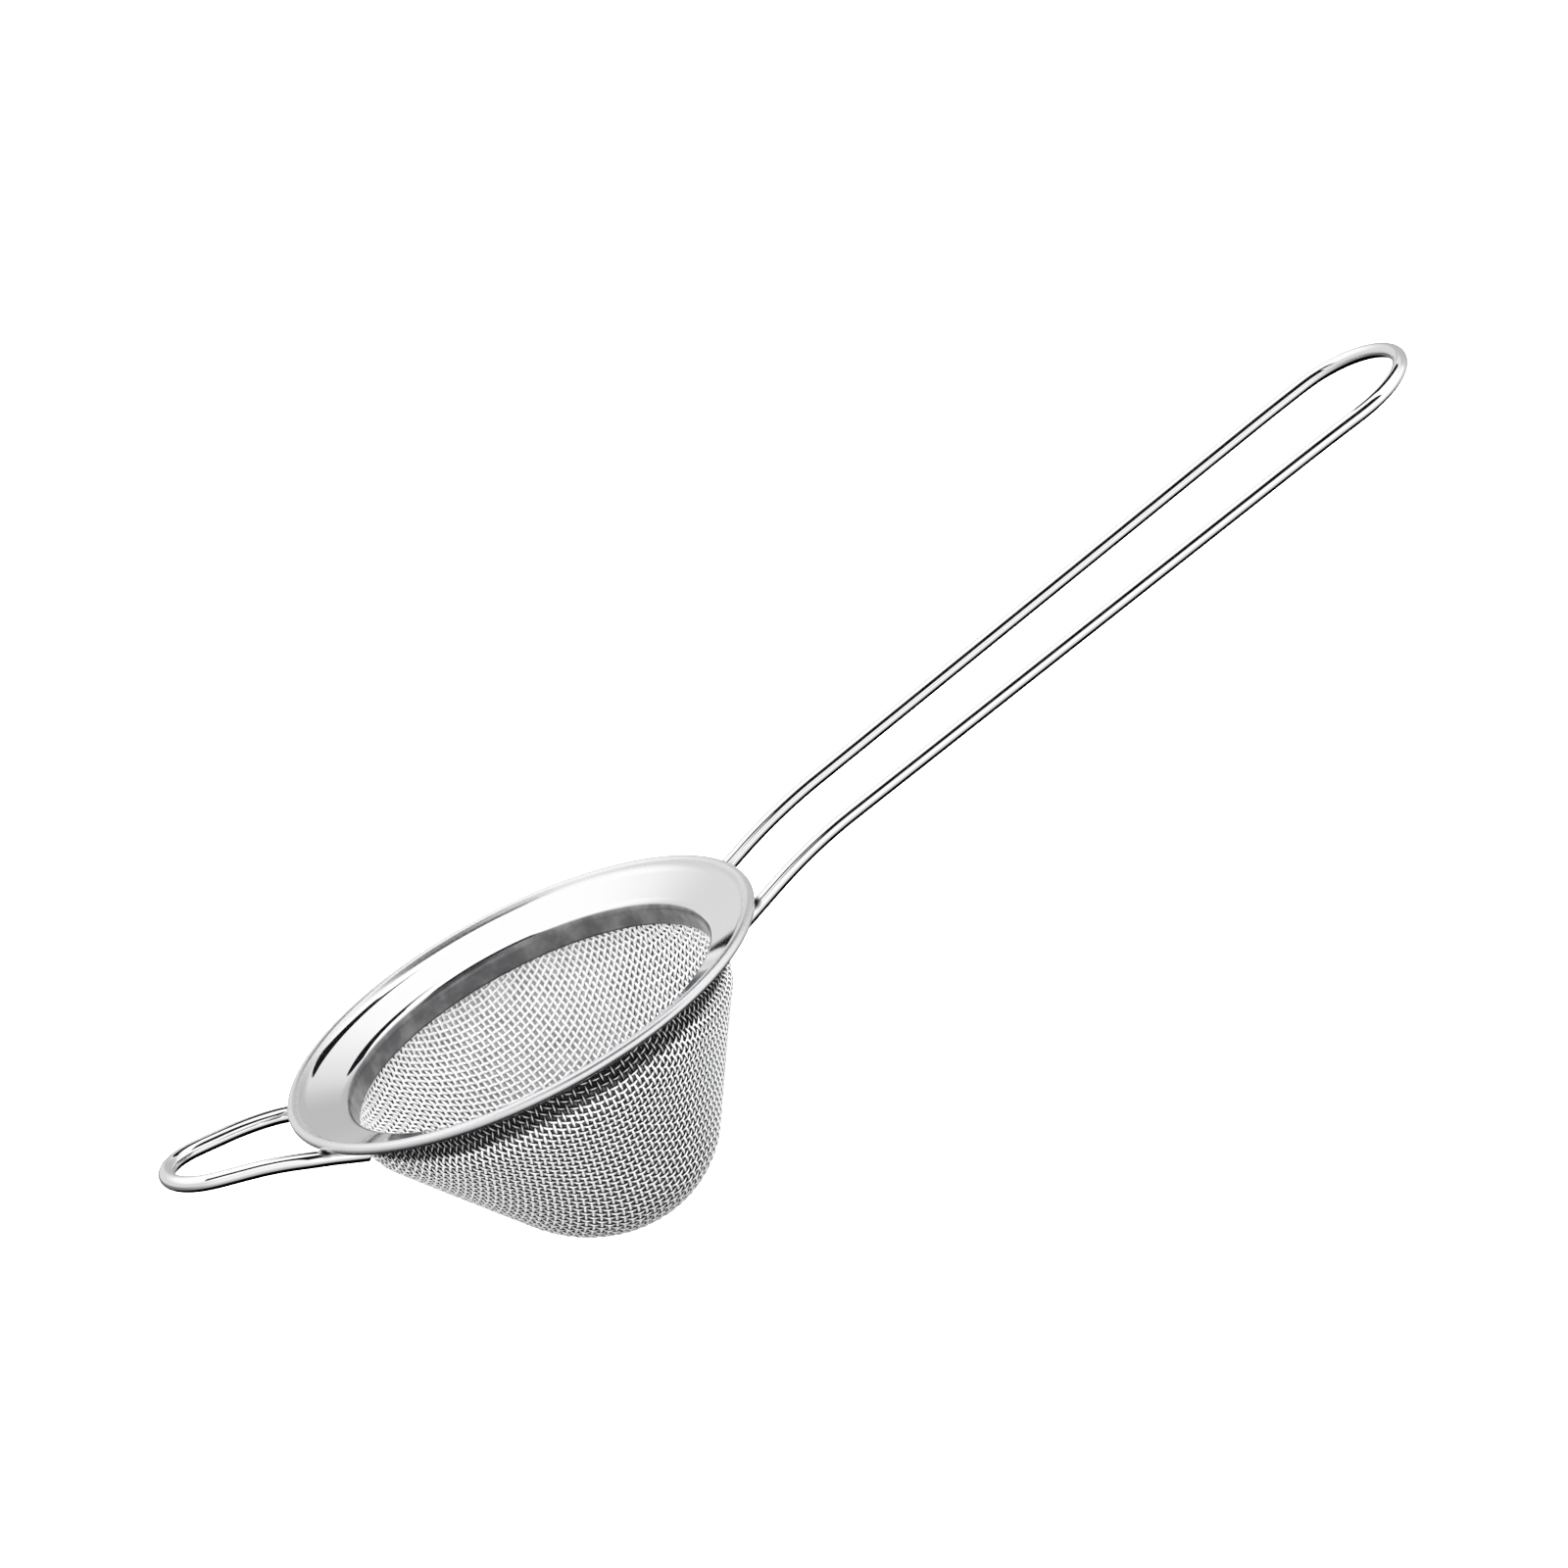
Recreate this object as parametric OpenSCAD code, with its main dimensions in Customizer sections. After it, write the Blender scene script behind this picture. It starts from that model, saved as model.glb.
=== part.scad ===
// Small conical tea strainer of stainless steel: a pressed rim ring, a basket of
// drawn wire cloth, a long wire handle and a short wire rest on the far side.
// Millimetres. Z = 0 is the centre plane of the rolled bead, +Z points up out of
// the mouth and +X towards the end of the handle. XZ is the mirror plane.

/* [Rim ring] */
// Outside diameter over the rolled bead
rim_d = 80; // [76:1:100]
// Diameter of the rolled bead's tube
bead_d = 1.8; // [1.6:0.1:2.4]
// Thickness of the sheet metal
sheet_t = 0.4; // [0.3:0.05:0.5]
// Angle through which the edge is rolled to form the bead
curl_wrap = 290; // [180:5:290]
// Radius of the groove just inside the bead, at mid-sheet
groove_r = 2.6; // [1:0.1:3]
// Slope of the dish, which falls towards the mouth
dish_angle = 17; // [8:1:22]
// How far below the bead's centre the dish's mid-plane would meet it
dish_drop = 0.2; // [0.1:0.05:0.4]
// Radius of the lip between dish and collar, at mid-sheet
lip_r = 1.8; // [1:0.1:2.4]
// Inside diameter of the collar
mouth_d = 61.4; // [50:0.2:64]
// Height of the collar's straight wall below the lip
collar_h = 2.4; // [1.6:0.1:3]

/* [Basket] */
// Diameter of the wires that the cloth is woven from
cloth_wire_d = 0.45; // [0.3:0.05:0.5]
// Depth of the basket's tip below the bead's centre
basket_depth = 41.5; // [34:0.1:50]
// How far the straight band round the collar runs on below it
band_tail = 0.9; // [0.2:0.1:3]
// Radius of the bend from the band into the cone
shoulder_r = 8; // [4:0.5:12]
// Radius of the rounded tip
tip_r = 20.8; // [12:0.2:22]
// How far the drawn tip leans towards the handle
tip_offset = 2.8; // [0:0.1:3]
// Gap between the collar's outside and the cloth
cloth_gap = 0.02; // [0.01:0.01:0.1]

/* [Wires] */
// Diameter of the handle's wire
handle_wire_d = 2.4; // [1.8:0.1:2.8]
// Diameter of the rest's wire
rest_wire_d = 2.6; // [1.8:0.1:2.8]
// Depth to which a wire is pressed into the bead where it is welded
weld_sink = 0.1; // [0.05:0.01:0.15]
// Gap between a wire's cut end and the basket
end_gap = 0.6; // [0.3:0.1:2]

/* [Handle] */
// Spacing of the legs where they cross the rim, between wire centres
handle_w = 20.6; // [14:0.2:30]
// Width of the end loop, between wire centres
loop_w = 24.6; // [18:0.2:30]
// Distance of the end loop's centre from the rim's edge
handle_reach = 116.2; // [90:0.2:150]
// Slope of the legs where they pass under the rim
handle_root_slope = 20.5; // [12:0.5:26]
// Slope of the straight grip
grip_slope = 9.5; // [0:0.5:12]
// Distance from the rim's edge at which the bend begins
handle_bend_start = 2; // [1:0.5:6]
// Length over which the legs bend from one slope to the other
handle_bend_l = 16; // [8:1:30]
// How far the end loop droops below the line of the grip
loop_droop = 0.6; // [0:0.1:3]

/* [Rest] */
// Spacing of the legs where they cross the rim, between wire centres
rest_w = 23.2; // [16:0.2:30]
// Radius of the rounded end, at the wire's centre
rest_end_r = 8.4; // [5:0.2:11]
// Distance of the rounded end's centre from the rim's edge
rest_reach = 11.9; // [10:0.1:20]
// Slope of the legs where they pass under the rim
rest_root_slope = 25; // [12:0.5:28]
// Slope of the outer part
rest_slope = 11; // [0:0.5:14]
// Distance inside the rim's edge at which the bend begins
rest_bend_start = 4; // [2:0.5:6]
// Length over which the legs bend from one slope to the other
rest_bend_l = 13; // [8:1:20]

/* [Hidden] */

STEEL = [0.80, 0.81, 0.82];
CLOTH = [0.66, 0.67, 0.69];

RING_FN = 144;       // segments round the rim
BASKET_SIDES = 60;   // facets round the basket
WIRE_SIDES = 14;     // facets round a wire
LEG_STEPS = 8;       // lengths of a leg from its cut end to its knee

rim_r = rim_d / 2;
bead_r = bead_d / 2;
mouth_r = mouth_d / 2;
collar_out_r = mouth_r + sheet_t;

// An arc of n steps about c, from angle a0 to a1.
function arc(c, r, a0, a1, n) =
    [for (i = [0:n]) let (a = a0 + (a1 - a0) * i / n) c + r * [cos(a), sin(a)]];

function bearing(v) = atan2(v[1], v[0]);
function reversed(list) = [for (i = [len(list) - 1:-1:0]) list[i]];
function unit(v) = v / norm(v);

// ---- Rim ring: its section in [radius, height] ----

// The dish's mid-line runs along dish_along through dish_foot, under the bead.
bead_c = [rim_r - bead_r, 0];
curl_r = bead_r - sheet_t / 2;
dish_along = [cos(dish_angle), sin(dish_angle)];
dish_up = [-sin(dish_angle), cos(dish_angle)];
dish_foot = bead_c - [0, dish_drop];

// The groove's arc touches the dish from above and the bead's curl from inside.
groove_from_bead = groove_r * dish_up - [0, dish_drop];
groove_run = dish_along * groove_from_bead;
groove_back = groove_run + sqrt(groove_run ^ 2 + (curl_r + groove_r) ^ 2
                                - groove_from_bead * groove_from_bead);
groove_c = bead_c + groove_from_bead - groove_back * dish_along;
groove_to_bead = bearing(bead_c - groove_c);
bead_start = bearing(groove_c - bead_c);

// The lip's arc lies under the dish and ends in the collar.
lip_x = mouth_r + sheet_t / 2 + lip_r;
lip_run = (lip_x - dish_foot[0] - lip_r * sin(dish_angle)) / cos(dish_angle);
lip_c = dish_foot + lip_run * dish_along - lip_r * dish_up;
collar_bottom = lip_c[1] - collar_h;

// One face of the sheet: side is +1 for the face that shows and -1 for the back.
function sheet_face(side) =
    let (h = side * sheet_t / 2)
    concat([[mouth_r + sheet_t / 2 - h, collar_bottom]],
           arc(lip_c, lip_r + h, 180, 90 + dish_angle, 10),
           arc(groove_c, groove_r - h, dish_angle - 90, groove_to_bead, 6),
           arc(bead_c, curl_r + h, bead_start, bead_start - curl_wrap, 36));

module rim_ring() {
    color(STEEL)
        rotate_extrude($fn = RING_FN)
            polygon(concat(sheet_face(1), reversed(sheet_face(-1))));
}

// ---- Basket: a thin closed shell of the drawn cloth ----

cloth_t = 2 * cloth_wire_d;
band_r = collar_out_r + cloth_gap + cloth_t;
cloth_top = lip_c[1];
band_depth = band_tail - collar_bottom;
shoulder_c = [band_r - shoulder_r, -band_depth];
tip_c = [0, tip_r - basket_depth];
// The cone's side is the common tangent of the shoulder's and the tip's arcs.
cone_normal = bearing(shoulder_c - tip_c)
              - acos((tip_r - shoulder_r) / norm(shoulder_c - tip_c));

// The outline at a depth of inset below the outer face, from the top to near the tip.
function basket_outline(inset) =
    let (shoulder = arc(shoulder_c, shoulder_r - inset, 0, cone_normal, 6),
         tip = arc(tip_c, tip_r - inset, cone_normal, -90, 9),
         a = shoulder[6],
         b = tip[0])
    concat([[band_r - inset, cloth_top]], shoulder,
           [for (i = [1:3]) a + (b - a) * i / 4],
           [for (i = [0:8]) tip[i]]);

// The lean grows with depth below the band.
function lean(z) =
    tip_offset * pow(max(0, (-band_depth - z) / (basket_depth - band_depth)), 1.25);

function basket_ring(p, r_scale) =
    [for (k = [0:BASKET_SIDES - 1]) let (a = 360 * k / BASKET_SIDES)
        [p[0] * r_scale * cos(a) + lean(p[1]), p[0] * r_scale * sin(a), p[1]]];

// The faces between two neighbouring rings that start at points a and b.
function belt(a, b, sides) =
    [for (k = [0:sides - 1]) let (m = (k + 1) % sides)
        each [[a + k, b + k, a + m], [a + m, b + k, b + m]]];

module mesh_basket() {
    n = BASKET_SIDES;
    outer = basket_outline(0);
    // The inner facets' flats, not their corners, keep the cloth's thickness.
    inner = basket_outline(cloth_t);
    rings = len(outer);
    outer_tip = [lean(-basket_depth), 0, -basket_depth];
    inner_tip = outer_tip + [0, 0, cloth_t];
    points = concat([for (p = outer) each basket_ring(p, 1)],
                    [for (p = inner) each basket_ring(p, 1 / cos(180 / n))],
                    [outer_tip, inner_tip]);
    last_out = (rings - 1) * n;
    first_in = rings * n;
    last_in = (2 * rings - 1) * n;
    faces = concat(
        [for (i = [0:rings - 2]) each belt((i + 1) * n, i * n, n)],
        [for (i = [0:rings - 2]) each belt(first_in + i * n, first_in + (i + 1) * n, n)],
        belt(0, first_in, n),
        [for (k = [0:n - 1]) [last_out + k, last_out + (k + 1) % n, 2 * rings * n]],
        [for (k = [0:n - 1]) [last_in + (k + 1) % n, last_in + k, 2 * rings * n + 1]]);
    color(CLOTH)
        polyhedron(points, faces, convexity = 4);
}

// ---- Wires: one length of round wire each, bent into a loop ----

// The rise of a leg whose slope eases from root to outer over bend_l, from bend_x on.
function leg_rise(x, root, outer, bend_x, bend_l) =
    let (d = min(max(x - bend_x, 0), bend_l),
         past = max(x - bend_x - bend_l, 0))
    (min(x, bend_x) + d) * tan(root)
        - (tan(root) - tan(outer)) * d ^ 2 / (2 * bend_l) + past * tan(outer);

// The height of a leg's centre at distance x from the rim's axis. The leg touches the
// bead's underside, square to its own slope there.
function leg_height(x, leg_y, wire_r, root, outer, bend_x, bend_l) =
    let (reach = bead_r + wire_r - weld_sink,
         touch_x = sqrt(bead_c[0] ^ 2 - leg_y ^ 2) + reach * sin(root))
    leg_rise(x, root, outer, bend_x, bend_l)
        - leg_rise(touch_x, root, outer, bend_x, bend_l) - reach * cos(root);

// Where a leg ends, clear of the basket's band.
function leg_start(leg_y, wire_r) = sqrt((band_r + end_gap + wire_r) ^ 2 - leg_y ^ 2);

// Half of a loop seen from above, from the leg's cut end to the loop's far point: a leg
// at leg_y to knee_x, a straight run tangent to the end's arc, and the arc.
function half_loop(start_x, leg_y, knee_x, end_x, end_r, run_steps, arc_steps) =
    let (knee = [knee_x, leg_y],
         from_end = knee - [end_x, 0],
         a = bearing(from_end) - acos(end_r / norm(from_end)),
         end_arc = arc([end_x, 0], end_r, a, 0, arc_steps))
    concat([for (i = [0:LEG_STEPS - 1])
                [start_x + (knee_x - start_x) * i / LEG_STEPS, leg_y]],
           [for (i = [0:run_steps - 1]) knee + (end_arc[0] - knee) * i / run_steps],
           end_arc);

// A round wire along a path that is nowhere upright.
module wire_along(path, wire_r) {
    n = WIRE_SIDES;
    last = len(path) - 1;
    points = [for (i = [0:last])
        let (t = unit(path[min(i + 1, last)] - path[max(i - 1, 0)]),
             side = unit(cross([0, 0, 1], t)),
             up = cross(t, side))
        each [for (k = [0:n - 1]) let (a = 360 * k / n)
            path[i] + wire_r * (cos(a) * side + sin(a) * up)]];
    faces = concat([for (i = [0:last - 1]) each belt((i + 1) * n, i * n, n)],
                   [[for (k = [0:n - 1]) k]],
                   [[for (k = [n - 1:-1:0]) last * n + k]]);
    polyhedron(points, faces, convexity = 4);
}

// The handle: legs that are parallel as far as the bend, then spread to the end loop.
handle_wire_r = handle_wire_d / 2;
handle_leg_y = handle_w / 2;
handle_bend_x = rim_r + handle_bend_start;
loop_r = loop_w / 2;
loop_x = rim_r + handle_reach;
loop_start_x = loop_x - loop_r;

function handle_point(p) =
    let (droop = max(0, (p[0] - loop_start_x) / (2 * loop_r)) ^ 2 * loop_droop)
    [p[0], p[1], leg_height(p[0], handle_leg_y, handle_wire_r, handle_root_slope,
                            grip_slope, handle_bend_x, handle_bend_l) - droop];

handle_half = [for (p = half_loop(leg_start(handle_leg_y, handle_wire_r), handle_leg_y,
                                  handle_bend_x + handle_bend_l / 2, loop_x, loop_r,
                                  30, 14)) handle_point(p)];

// The rest: legs that close in towards a rounded end from just outside the bead.
rest_wire_r = rest_wire_d / 2;
rest_leg_y = rest_w / 2;
rest_bend_x = rim_r - rest_bend_start;

function rest_point(p) =
    [-p[0], p[1], leg_height(p[0], rest_leg_y, rest_wire_r, rest_root_slope,
                             rest_slope, rest_bend_x, rest_bend_l)];

rest_half = [for (p = half_loop(leg_start(rest_leg_y, rest_wire_r), rest_leg_y, rim_r,
                                rim_r + rest_reach, rest_end_r, 8, 14)) rest_point(p)];

// The other half of a loop, mirrored across XZ, without the far point that both share.
function whole_loop(half) =
    concat(half, [for (i = [len(half) - 2:-1:0]) [half[i][0], -half[i][1], half[i][2]]]);

module handle_wire() {
    color(STEEL)
        difference() {
            wire_along(whole_loop(handle_half), handle_wire_r);
            rim_ring();
        }
}

module rest_wire() {
    color(STEEL)
        difference() {
            wire_along(whole_loop(rest_half), rest_wire_r);
            rim_ring();
        }
}

rim_ring();
mesh_basket();
handle_wire();
rest_wire();
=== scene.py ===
# Small conical tea strainer of polished stainless steel, standing on the tip of its basket.
# Sizes below are in millimetres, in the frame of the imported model; everything that reaches
# Blender is in metres.
import math

import bpy
import numpy as np
from mathutils import Matrix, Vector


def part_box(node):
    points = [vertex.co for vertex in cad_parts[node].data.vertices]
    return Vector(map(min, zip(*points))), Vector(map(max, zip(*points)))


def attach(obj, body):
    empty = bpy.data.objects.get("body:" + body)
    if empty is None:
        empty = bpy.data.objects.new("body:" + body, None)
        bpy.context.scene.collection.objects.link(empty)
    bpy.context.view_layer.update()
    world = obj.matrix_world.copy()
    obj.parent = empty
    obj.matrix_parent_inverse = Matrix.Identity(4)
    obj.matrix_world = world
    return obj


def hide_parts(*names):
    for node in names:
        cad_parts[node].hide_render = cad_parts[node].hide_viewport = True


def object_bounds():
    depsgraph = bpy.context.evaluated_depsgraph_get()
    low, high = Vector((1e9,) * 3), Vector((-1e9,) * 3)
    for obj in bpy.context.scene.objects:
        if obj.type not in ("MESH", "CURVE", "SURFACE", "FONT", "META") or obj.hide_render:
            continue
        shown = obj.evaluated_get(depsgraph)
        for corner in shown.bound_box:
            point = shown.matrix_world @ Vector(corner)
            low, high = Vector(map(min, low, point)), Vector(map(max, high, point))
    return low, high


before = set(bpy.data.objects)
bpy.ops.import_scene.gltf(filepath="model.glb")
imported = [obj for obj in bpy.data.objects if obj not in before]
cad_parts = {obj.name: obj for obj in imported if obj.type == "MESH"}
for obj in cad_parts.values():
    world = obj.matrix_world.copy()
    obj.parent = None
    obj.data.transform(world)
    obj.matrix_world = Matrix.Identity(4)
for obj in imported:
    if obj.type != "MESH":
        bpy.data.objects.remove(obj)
cad_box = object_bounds()

MM = 0.001

# ---- Sizes shared with the solids ----

SHEET_T = 0.4          # thickness of the rim's sheet
BEAD_R = 0.9           # outside radius of the rolled bead
CURL_WRAP = 290.0      # angle through which the edge is rolled, degrees
GROOVE_R = 2.6         # groove just inside the bead, at mid-sheet
DISH_ANGLE = 17.0      # slope of the dish, degrees
DISH_DROP = 0.2        # how far the dish starts below the bead's centre
LIP_R = 1.8            # lip between dish and collar, at mid-sheet
MOUTH_R = 30.7         # inside of the collar
COLLAR_H = 2.4         # straight length of the collar

CLOTH_GAP = 0.02       # between the collar and the cloth round it
BAND_TAIL = 0.9        # how far the straight band round the collar runs on below it
SHOULDER_R = 8.0       # outside radius where the band turns into the cone
TIP_R = 20.8           # outside radius of the rounded tip
TIP_LEAN = 2.8         # how far the tip leans towards the handle
CLOTH_T = 0.9          # thickness of the cloth's shell in the solids

HANDLE_WIRE_R = 1.2
REST_WIRE_R = 1.3
WELD_SINK = 0.1        # how far a wire is pressed into the bead's underside
END_GAP = 0.6          # between a wire's cut end and the cloth's band


def node_box(name):
    """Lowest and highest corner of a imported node, in millimetres."""
    low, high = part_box(name)
    return np.array(low) / MM, np.array(high) / MM


rim_low, rim_high = node_box("rim_ring")
basket_low, basket_high = node_box("mesh_basket")
handle_low, handle_high = node_box("handle_wire")
rest_low, rest_high = node_box("rest_wire")

RIM_R = rim_high[0]
BASKET_DEPTH = -basket_low[2]
BAND_R = MOUTH_R + SHEET_T + CLOTH_GAP + CLOTH_T

HANDLE_LEG_Y, LOOP_R = 10.3, 12.3       # half the handle's width, radius of its end loop
HANDLE_ROOT_SLOPE, GRIP_SLOPE = 20.5, 9.5   # degrees, under the rim and along the grip
HANDLE_BEND_X, HANDLE_BEND_L = RIM_R + 2.0, 16.0
LOOP_X = handle_high[0] - HANDLE_WIRE_R - LOOP_R
LOOP_DROOP = 0.6       # how far the end loop bends down
REST_LEG_Y, REST_END_R = 11.6, 8.4
REST_ROOT_SLOPE, REST_SLOPE = 25.0, 11.0
REST_BEND_X, REST_BEND_L = RIM_R - 4.0, 13.0
REST_X = -rest_low[0] - REST_WIRE_R - REST_END_R

# ---- How finely the meshes are made ----

RIM_SIDES = 288
WIRE_SIDES = 32
WIRE_STEP = 0.4        # length of tube between two rings of a wire
WIRE_EASE = 5          # steps over which a corner of a wire's plan is rounded
END_ROUND = 0.35       # round edge of a wire's cut ends
SHADE_SIDES = 144      # sides of the shade between the threads
SHADE_ROWS = 90
STEPS = 4              # lengths of tube between two crossings of the threads
THREAD_SIDES = 6
THREAD_FIRST = 30.0    # where a thread's first side lies, degrees

# ---- Small helpers ----


def arc(centre, radius, a0, a1, steps):
    """Points on an arc in a plane; angles in degrees."""
    a = np.radians(np.linspace(a0, a1, steps + 1))
    return np.stack([centre[0] + radius * np.cos(a), centre[1] + radius * np.sin(a)], 1)


def bearing(v):
    """Direction of a vector in its plane, in degrees."""
    return math.degrees(math.atan2(v[1], v[0]))


def run_of(points):
    """Distance along a line of points, from its first."""
    return np.r_[0, np.cumsum(np.linalg.norm(np.diff(points, axis=0), axis=1))]


def make_mesh(name, verts, faces, uv=None):
    """A smooth mesh piece from points in millimetres and quads or triangles."""
    me = bpy.data.meshes.new(name)
    me.from_pydata((np.asarray(verts) * MM).tolist(), [], [list(map(int, f)) for f in faces])
    me.update()
    me.polygons.foreach_set("use_smooth", [True] * len(me.polygons))
    if uv is not None:
        layer = me.uv_layers.new(name="along")
        loops = np.zeros(len(me.loops), np.int32)
        me.loops.foreach_get("vertex_index", loops)
        layer.data.foreach_set("uv", np.asarray(uv, np.float32)[loops].ravel())
    ob = bpy.data.objects.new(name, me)
    bpy.context.scene.collection.objects.link(ob)
    return ob


def grid_faces(rows, cols, start=0):
    """Quads of a grid of points with rows of cols points; each row closes on itself."""
    i = np.arange(rows - 1)[:, None] * cols
    j = np.arange(cols)[None, :]
    k = (j + 1) % cols
    a, b = i + j, i + k
    return np.stack([a, b, b + cols, a + cols], -1).reshape(-1, 4) + start


def tube_points(path, normals, radius, sides, first=0.0):
    """Rings of points round a path, each turned to its own normal; first in degrees."""
    t = np.gradient(path, axis=0)
    t /= np.linalg.norm(t, axis=1)[:, None]
    side = np.cross(normals, t)
    side /= np.linalg.norm(side, axis=1)[:, None]
    up = np.cross(t, side)
    a = 2 * np.pi * np.arange(sides) / sides + math.radians(first)
    ring = np.cos(a)[None, :, None] * side[:, None] + np.sin(a)[None, :, None] * up[:, None]
    return path[:, None] + radius * ring


# ---- Rim ring: the CAD's own section, turned finely so that its reflections run clean ----

BEAD_C = np.array([RIM_R - BEAD_R, 0.0])
CURL_R = BEAD_R - SHEET_T / 2


def rim_section():
    """Closed section of the sheet as [radius, height], with its cut edges rounded off,
    and the height of the collar's top, where the cloth starts."""
    ca, sa = math.cos(math.radians(DISH_ANGLE)), math.sin(math.radians(DISH_ANGLE))
    along, up = np.array([ca, sa]), np.array([-sa, ca])
    foot = BEAD_C - [0, DISH_DROP]
    from_bead = GROOVE_R * up - [0, DISH_DROP]
    run = along @ from_bead
    back = run + math.sqrt(run**2 + (CURL_R + GROOVE_R) ** 2 - from_bead @ from_bead)
    groove_c = BEAD_C + from_bead - back * along
    to_bead, start = bearing(BEAD_C - groove_c), bearing(groove_c - BEAD_C)
    lip_x = MOUTH_R + SHEET_T / 2 + LIP_R
    lip_run = (lip_x - foot[0] - LIP_R * sa) / ca
    lip_c = foot + lip_run * along - LIP_R * up
    bottom = lip_c[1] - COLLAR_H
    edge = SHEET_T / 2

    def face(side):
        """The sheet's inner or outer face from the collar's foot to the curl's end."""
        h = side * edge
        wall = np.array([[MOUTH_R + edge - h, z] for z in
                         np.linspace(bottom + edge, lip_c[1], 6)])
        return np.vstack([wall, arc(lip_c, LIP_R + h, 180, 90 + DISH_ANGLE, 16)[1:],
                          arc(groove_c, GROOVE_R - h, DISH_ANGLE - 90, to_bead, 14),
                          arc(BEAD_C, CURL_R + h, start, start - CURL_WRAP, 60)[1:]])

    wrap = start - CURL_WRAP
    end = math.radians(wrap)
    end_c = BEAD_C + CURL_R * np.array([math.cos(end), math.sin(end)])
    end_round = arc(end_c, edge, wrap, wrap - 180, 6)[1:-1]
    foot_round = arc([MOUTH_R + edge, bottom + edge], edge, 0, -180, 6)[1:-1]
    return np.vstack([face(1), end_round, face(-1)[::-1], foot_round]), lip_c[1]


section, CLOTH_TOP = rim_section()
BAND_DEPTH = BAND_TAIL + COLLAR_H - CLOTH_TOP
COLLAR_END = CLOTH_TOP - COLLAR_H


def lathe(name, section, sides):
    """Turns a closed section round the rim's axis."""
    a = 2 * np.pi * np.arange(sides) / sides
    rows = np.stack([section[:, 0, None] * np.cos(a), section[:, 0, None] * np.sin(a),
                     np.repeat(section[:, 1, None], sides, 1)], -1)
    faces = grid_faces(len(section) + 1, sides) % (len(section) * sides)
    return make_mesh(name, rows.reshape(-1, 3), faces)


rim = lathe("rim_polished", section, RIM_SIDES)

# ---- Wires ----


def leg_rise(x, root, outer, bend_x, bend_l):
    """Rise of a leg whose slope eases from root to outer over bend_l, from bend_x on."""
    s0, s1 = math.tan(math.radians(root)), math.tan(math.radians(outer))
    d = np.clip(x - bend_x, 0, bend_l)
    past = np.maximum(x - bend_x - bend_l, 0)
    return (np.minimum(x, bend_x) + d) * s0 - (s0 - s1) * d**2 / (2 * bend_l) + past * s1


def leg_height(x, leg_y, wire_r, root, outer, bend_x, bend_l):
    """Height of a leg's centre; the leg touches the bead's underside."""
    reach = BEAD_R + wire_r - WELD_SINK
    touch_x = math.sqrt(BEAD_C[0] ** 2 - leg_y**2) + reach * math.sin(math.radians(root))
    return (leg_rise(x, root, outer, bend_x, bend_l)
            - leg_rise(touch_x, root, outer, bend_x, bend_l)
            - reach * math.cos(math.radians(root)))


def half_plan(start_x, leg_y, knee_x, end_x, end_r):
    """Half of a wire seen from above: a leg, a straight run and a quarter of the end."""
    knee = np.array([knee_x, leg_y])
    from_end = knee - [end_x, 0]
    a = bearing(from_end) - math.degrees(math.acos(end_r / np.hypot(*from_end)))
    end = arc([end_x, 0], end_r, a, 0, 60)
    return np.vstack([[[start_x, leg_y]], [knee], end])


def even(points, step):
    """The same line with its points at an even step."""
    s = run_of(points)
    t = np.linspace(0, s[-1], int(round(s[-1] / step)) + 1)
    return np.stack([np.interp(t, s, points[:, k]) for k in range(points.shape[1])], 1)


def eased(points, width):
    """Rounds the corners of an evenly stepped line over a number of points; ends stay."""
    k = np.hanning(2 * width + 3)[1:-1]
    k /= k.sum()
    pad = np.vstack([2 * points[0] - points[width:0:-1], points,
                     2 * points[-1] - points[-2:-width - 2:-1]])
    return np.stack([np.convolve(pad[:, c], k, "valid") for c in range(points.shape[1])], 1)


def wire_piece(name, half, height, sign, wire_r):
    """A closed round wire from half of its plan and its height, with rounded cut ends."""
    plan = np.vstack([half, half[-2::-1] * [1, -1]])
    plan = eased(even(plan, WIRE_STEP), WIRE_EASE)
    path = np.column_stack([sign * plan[:, 0], plan[:, 1], height(plan[:, 0])])
    t0 = (path[0] - path[1]) / np.linalg.norm(path[0] - path[1])
    t1 = (path[-1] - path[-2]) / np.linalg.norm(path[-1] - path[-2])
    up = np.tile([0.0, 0.0, 1.0], (len(path), 1))
    rings = tube_points(path, up, wire_r, WIRE_SIDES)
    caps = []
    for centre, ring, t in ((path[0], rings[0], t0), (path[-1], rings[-1], t1)):
        steps = []
        for a in np.radians([30, 60, 90]):
            scale = (wire_r - END_ROUND + END_ROUND * math.cos(a)) / wire_r
            steps.append(centre + (ring - centre) * scale + t * END_ROUND * (math.sin(a) - 1))
        caps.append(steps)
    first = rings[0] - t0 * END_ROUND
    last = rings[-1] - t1 * END_ROUND
    rows = np.array(caps[0][::-1] + [first] + list(rings[2:-2]) + [last] + caps[1])
    n, sides = rows.shape[:2]
    faces = grid_faces(n, sides).tolist()
    faces.append(list(range(sides))[::-1])
    faces.append(list(range((n - 1) * sides, n * sides)))
    s = run_of(rows.mean(1))
    u = np.abs(np.linspace(-1, 1, sides, endpoint=False))
    uv = np.stack(np.broadcast_arrays(u[None, :] * math.pi * wire_r, s[:, None]), -1)
    return make_mesh(name, rows.reshape(-1, 3), faces, uv.reshape(-1, 2))


def leg_start(leg_y, wire_r):
    """Distance along the handle's line at which a leg clears the cloth's band."""
    return math.sqrt((BAND_R + END_GAP + wire_r) ** 2 - leg_y**2)


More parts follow.
